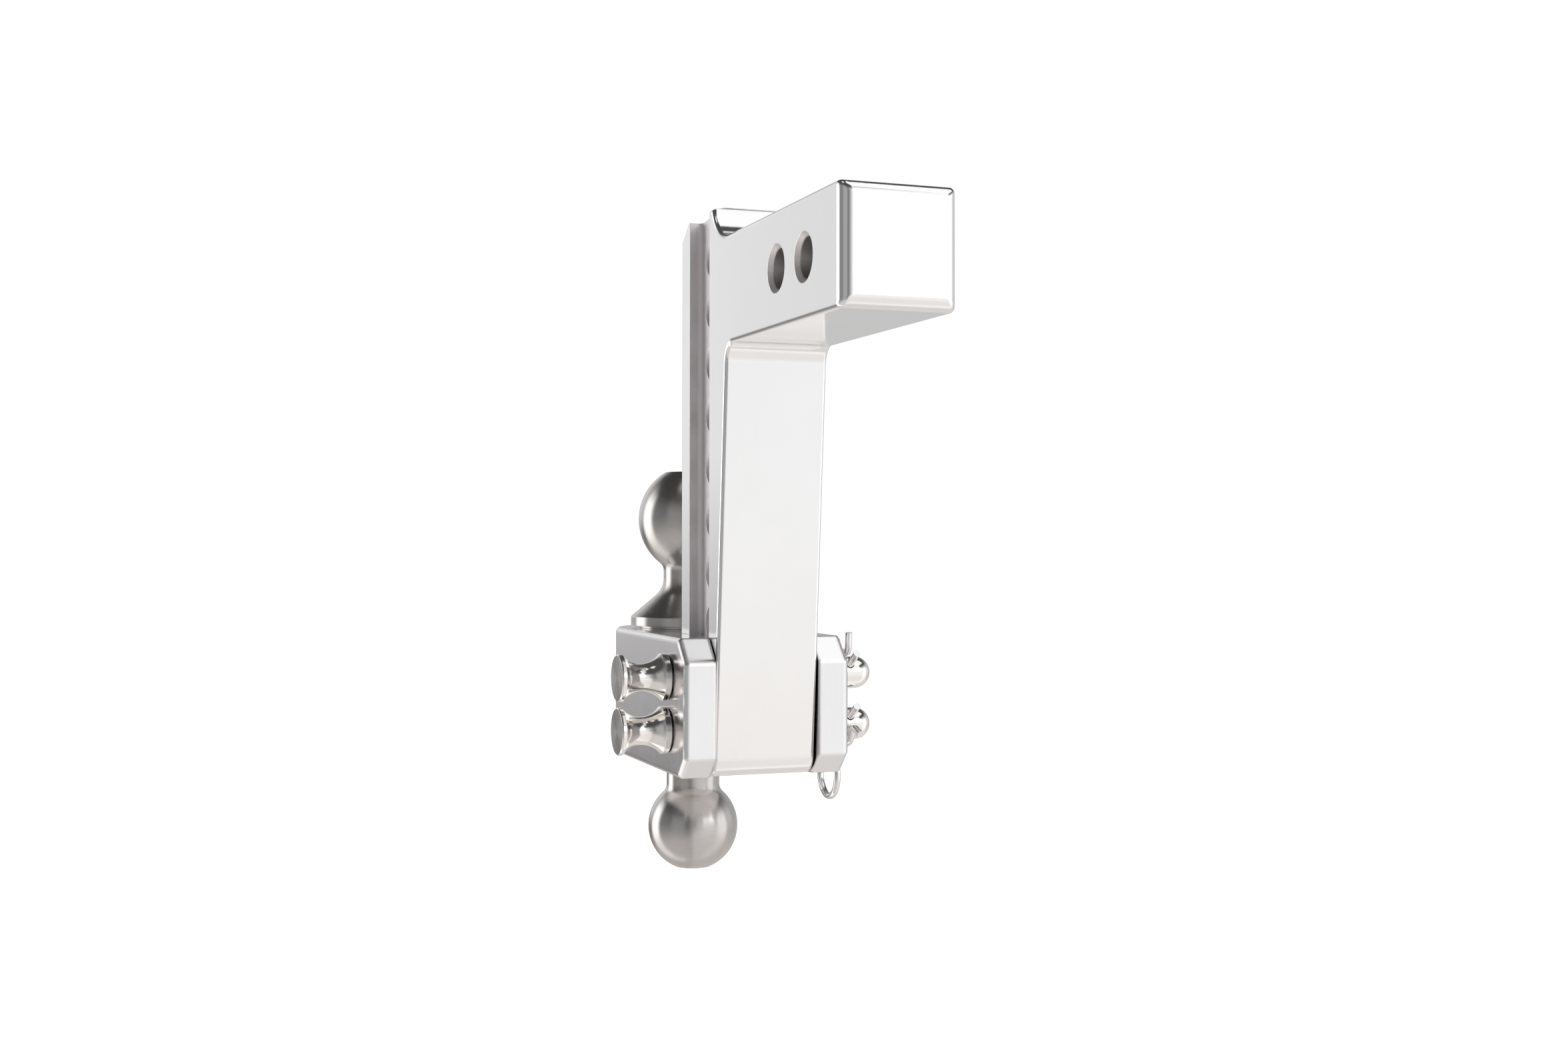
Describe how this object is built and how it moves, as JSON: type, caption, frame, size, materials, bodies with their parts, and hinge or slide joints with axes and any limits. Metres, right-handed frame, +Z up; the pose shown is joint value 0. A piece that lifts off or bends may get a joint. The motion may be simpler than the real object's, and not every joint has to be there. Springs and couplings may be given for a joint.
{
  "type": "adjustable drop hitch with two balls",
  "caption": "Drop hitch with a square receiver shank, a tapering leg with a T-rail of pin holes, and a ball mount with a ball above and one below, held by locking pins with hairpin clips.",
  "frame": {"origin": "centre of the shank's free end face", "axes": "+Y from the receiver back towards the trailer along the shank, +Z up, +X across the vehicle towards the clip side of the locking pins"},
  "size_m": [0.1299, 0.3141, 0.3326],
  "materials": {
    "drawbar_aluminium": "bright machined and satin polished",
    "mount_aluminium": "bright machined and satin polished",
    "ball_steel": "turned and brushed",
    "pin_steel": "turned and polished",
    "clip_wire": "bright zinc plate"
  },
  "bodies": {
    "drawbar": {"drawbar": "drawbar_aluminium"},
    "mount": {"ball_mount": "mount_aluminium", "upper_ball": "ball_steel", "lower_ball": "ball_steel"},
    "upper_locking_pin": {"upper_pin": "pin_steel", "upper_knob": "pin_steel", "upper_clip": "clip_wire"},
    "lower_locking_pin": {"lower_pin": "pin_steel", "lower_knob": "pin_steel", "lower_clip": "clip_wire"}
  },
  "joints": [
    {"name": "height_adjust", "type": "slide", "parent": "drawbar", "child": "mount", "axis": [0, 0, 1], "range_m": [0, 0.1524]},
    {"name": "upper_pin_turn", "type": "hinge", "parent": "mount", "child": "upper_locking_pin", "pos_m": [0, 0.1829, -0.1826], "axis": [1, 0, 0], "range_deg": [0, 55]},
    {"name": "lower_pin_turn", "type": "hinge", "parent": "mount", "child": "lower_locking_pin", "pos_m": [0, 0.1829, -0.208], "axis": [1, 0, 0], "range_deg": [-15, 25]}
  ]
}
